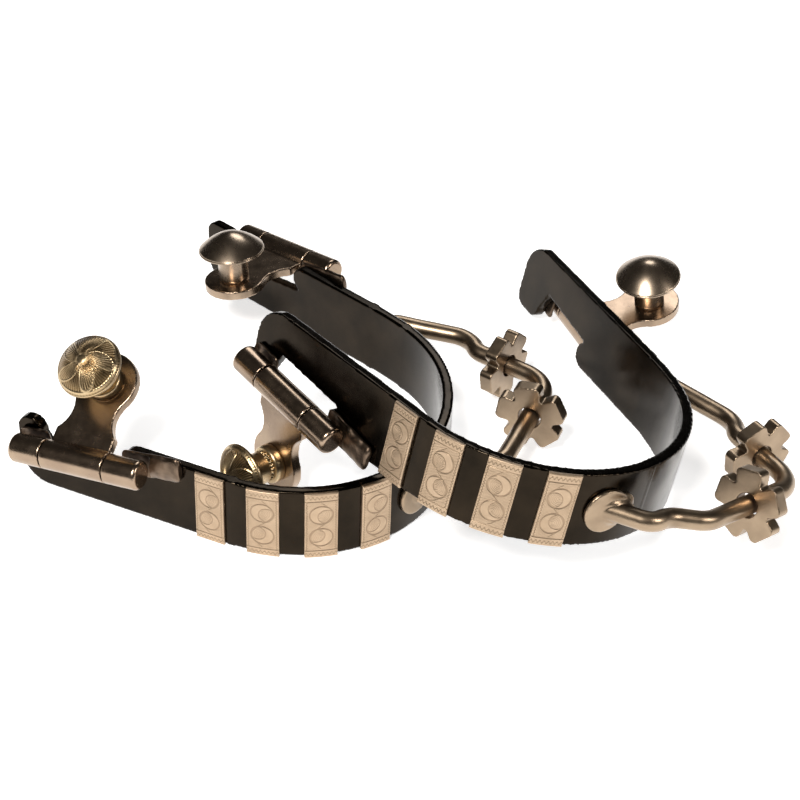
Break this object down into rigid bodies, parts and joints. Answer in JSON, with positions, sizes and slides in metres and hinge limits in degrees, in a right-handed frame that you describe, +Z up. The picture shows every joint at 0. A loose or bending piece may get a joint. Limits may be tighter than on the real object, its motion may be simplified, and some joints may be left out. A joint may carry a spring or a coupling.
{
  "type": "pair of riding spurs",
  "caption": "Pair of western riding spurs: notched heel bands with silver bars, hinged strap buttons, and clover rowels on bent shanks.",
  "frame": {"origin": "centre of the pair's footprint, on the surface that it lies on", "axes": "+X along the pair's greatest length, +Y away from the viewer, +Z up"},
  "size_m": [0.1884, 0.135, 0.0419],
  "materials": {
    "blackened_steel": "blackened, satin, with worn bright edges",
    "engraved_silver": "matte engraved silver",
    "polished_steel": "polished by use",
    "hinge_steel": "satin, warm brown",
    "button_steel": "polished",
    "weld_steel": "lumpy weld, partly polished",
    "engraved_brass": "satin, engraved"
  },
  "bodies": {
    "first_spur": {"first_heel_band": "blackened_steel", "first_silver_bar_1": "engraved_silver", "first_silver_bar_2": "engraved_silver", "first_silver_bar_3": "engraved_silver", "first_silver_bar_4": "engraved_silver", "first_shank_rod": "polished_steel", "first_outer_pad": "weld_steel", "first_inner_pad": "weld_steel", "first_outer_front_knuckle": "hinge_steel", "first_outer_rear_knuckle": "hinge_steel", "first_outer_hinge_pin": "hinge_steel", "first_outer_front_weld": "weld_steel", "first_outer_rear_weld": "weld_steel", "first_inner_front_knuckle": "hinge_steel", "first_inner_rear_knuckle": "hinge_steel", "first_inner_hinge_pin": "hinge_steel", "first_inner_front_weld": "weld_steel", "first_inner_rear_weld": "weld_steel"},
    "first_outer_tab": {"first_outer_button_tab": "hinge_steel", "first_brass_button": "engraved_brass"},
    "first_inner_tab": {"first_inner_button_tab": "hinge_steel", "first_steel_button": "button_steel"},
    "first_outer_rowel": {"first_outer_rowel": "polished_steel"},
    "first_inner_rowel": {"first_inner_rowel": "polished_steel"},
    "second_spur": {"second_heel_band": "blackened_steel", "second_silver_bar_1": "engraved_silver", "second_silver_bar_2": "engraved_silver", "second_silver_bar_3": "engraved_silver", "second_silver_bar_4": "engraved_silver", "second_shank_rod": "polished_steel", "second_outer_pad": "weld_steel", "second_inner_pad": "weld_steel", "second_outer_front_knuckle": "hinge_steel", "second_outer_rear_knuckle": "hinge_steel", "second_outer_hinge_pin": "hinge_steel", "second_outer_front_weld": "weld_steel", "second_outer_rear_weld": "weld_steel", "second_inner_front_knuckle": "hinge_steel", "second_inner_rear_knuckle": "hinge_steel", "second_inner_hinge_pin": "hinge_steel", "second_inner_front_weld": "weld_steel", "second_inner_rear_weld": "weld_steel"},
    "second_outer_tab": {"second_outer_button_tab": "hinge_steel", "second_brass_button": "engraved_brass"},
    "second_inner_tab": {"second_inner_button_tab": "hinge_steel", "second_steel_button": "button_steel"},
    "second_outer_rowel": {"second_outer_rowel": "polished_steel"},
    "second_inner_rowel": {"second_inner_rowel": "polished_steel"}
  },
  "joints": [
    {"name": "second_spur_lift", "type": "slide", "parent": "first_spur", "child": "second_spur", "axis": [0, 0, 1], "range_m": [0, 0.1]},
    {"name": "first_outer_hinge", "type": "hinge", "parent": "first_spur", "child": "first_outer_tab", "pos_m": [-0.07707, -0.04063, 0.01515], "axis": [0.9148, -0.3902, 0.1045], "range_deg": [0, 207]},
    {"name": "first_inner_hinge", "type": "hinge", "parent": "first_spur", "child": "first_inner_tab", "pos_m": [-0.03419, 0.05377, 0.01515], "axis": [-0.7494, 0.6538, -0.1045], "range_deg": [0, 240]},
    {"name": "first_outer_rowel_spin", "type": "hinge", "parent": "first_spur", "child": "first_outer_rowel", "pos_m": [0.0312, -0.0076, 0.00955], "axis": [0.36, 0.933, 0], "continuous": true},
    {"name": "first_inner_rowel_spin", "type": "hinge", "parent": "first_spur", "child": "first_inner_rowel", "pos_m": [0.02475, 0.01401, 0.00955], "axis": [-0.8281, 0.5606, 0], "continuous": true},
    {"name": "second_outer_hinge", "type": "hinge", "parent": "second_spur", "child": "second_outer_tab", "pos_m": [-0.02842, -0.02968, 0.02788], "axis": [-0.6551, 0.7439, 0.132], "range_deg": [-65, 20]},
    {"name": "second_inner_hinge", "type": "hinge", "parent": "second_spur", "child": "second_inner_tab", "pos_m": [0.04709, 0.03763, 0.00512], "axis": [0.4031, -0.913, -0.0632], "range_deg": [-175, 36]},
    {"name": "second_outer_rowel_spin", "type": "hinge", "parent": "second_spur", "child": "second_outer_rowel", "pos_m": [0.08048, -0.04682, 0.01565], "axis": [0.6886, 0.6917, -0.2177], "continuous": true},
    {"name": "second_inner_rowel_spin", "type": "hinge", "parent": "second_spur", "child": "second_inner_rowel", "pos_m": [0.08583, -0.02191, 0.01142], "axis": [-0.5293, 0.8483, -0.0121], "continuous": true}
  ]
}
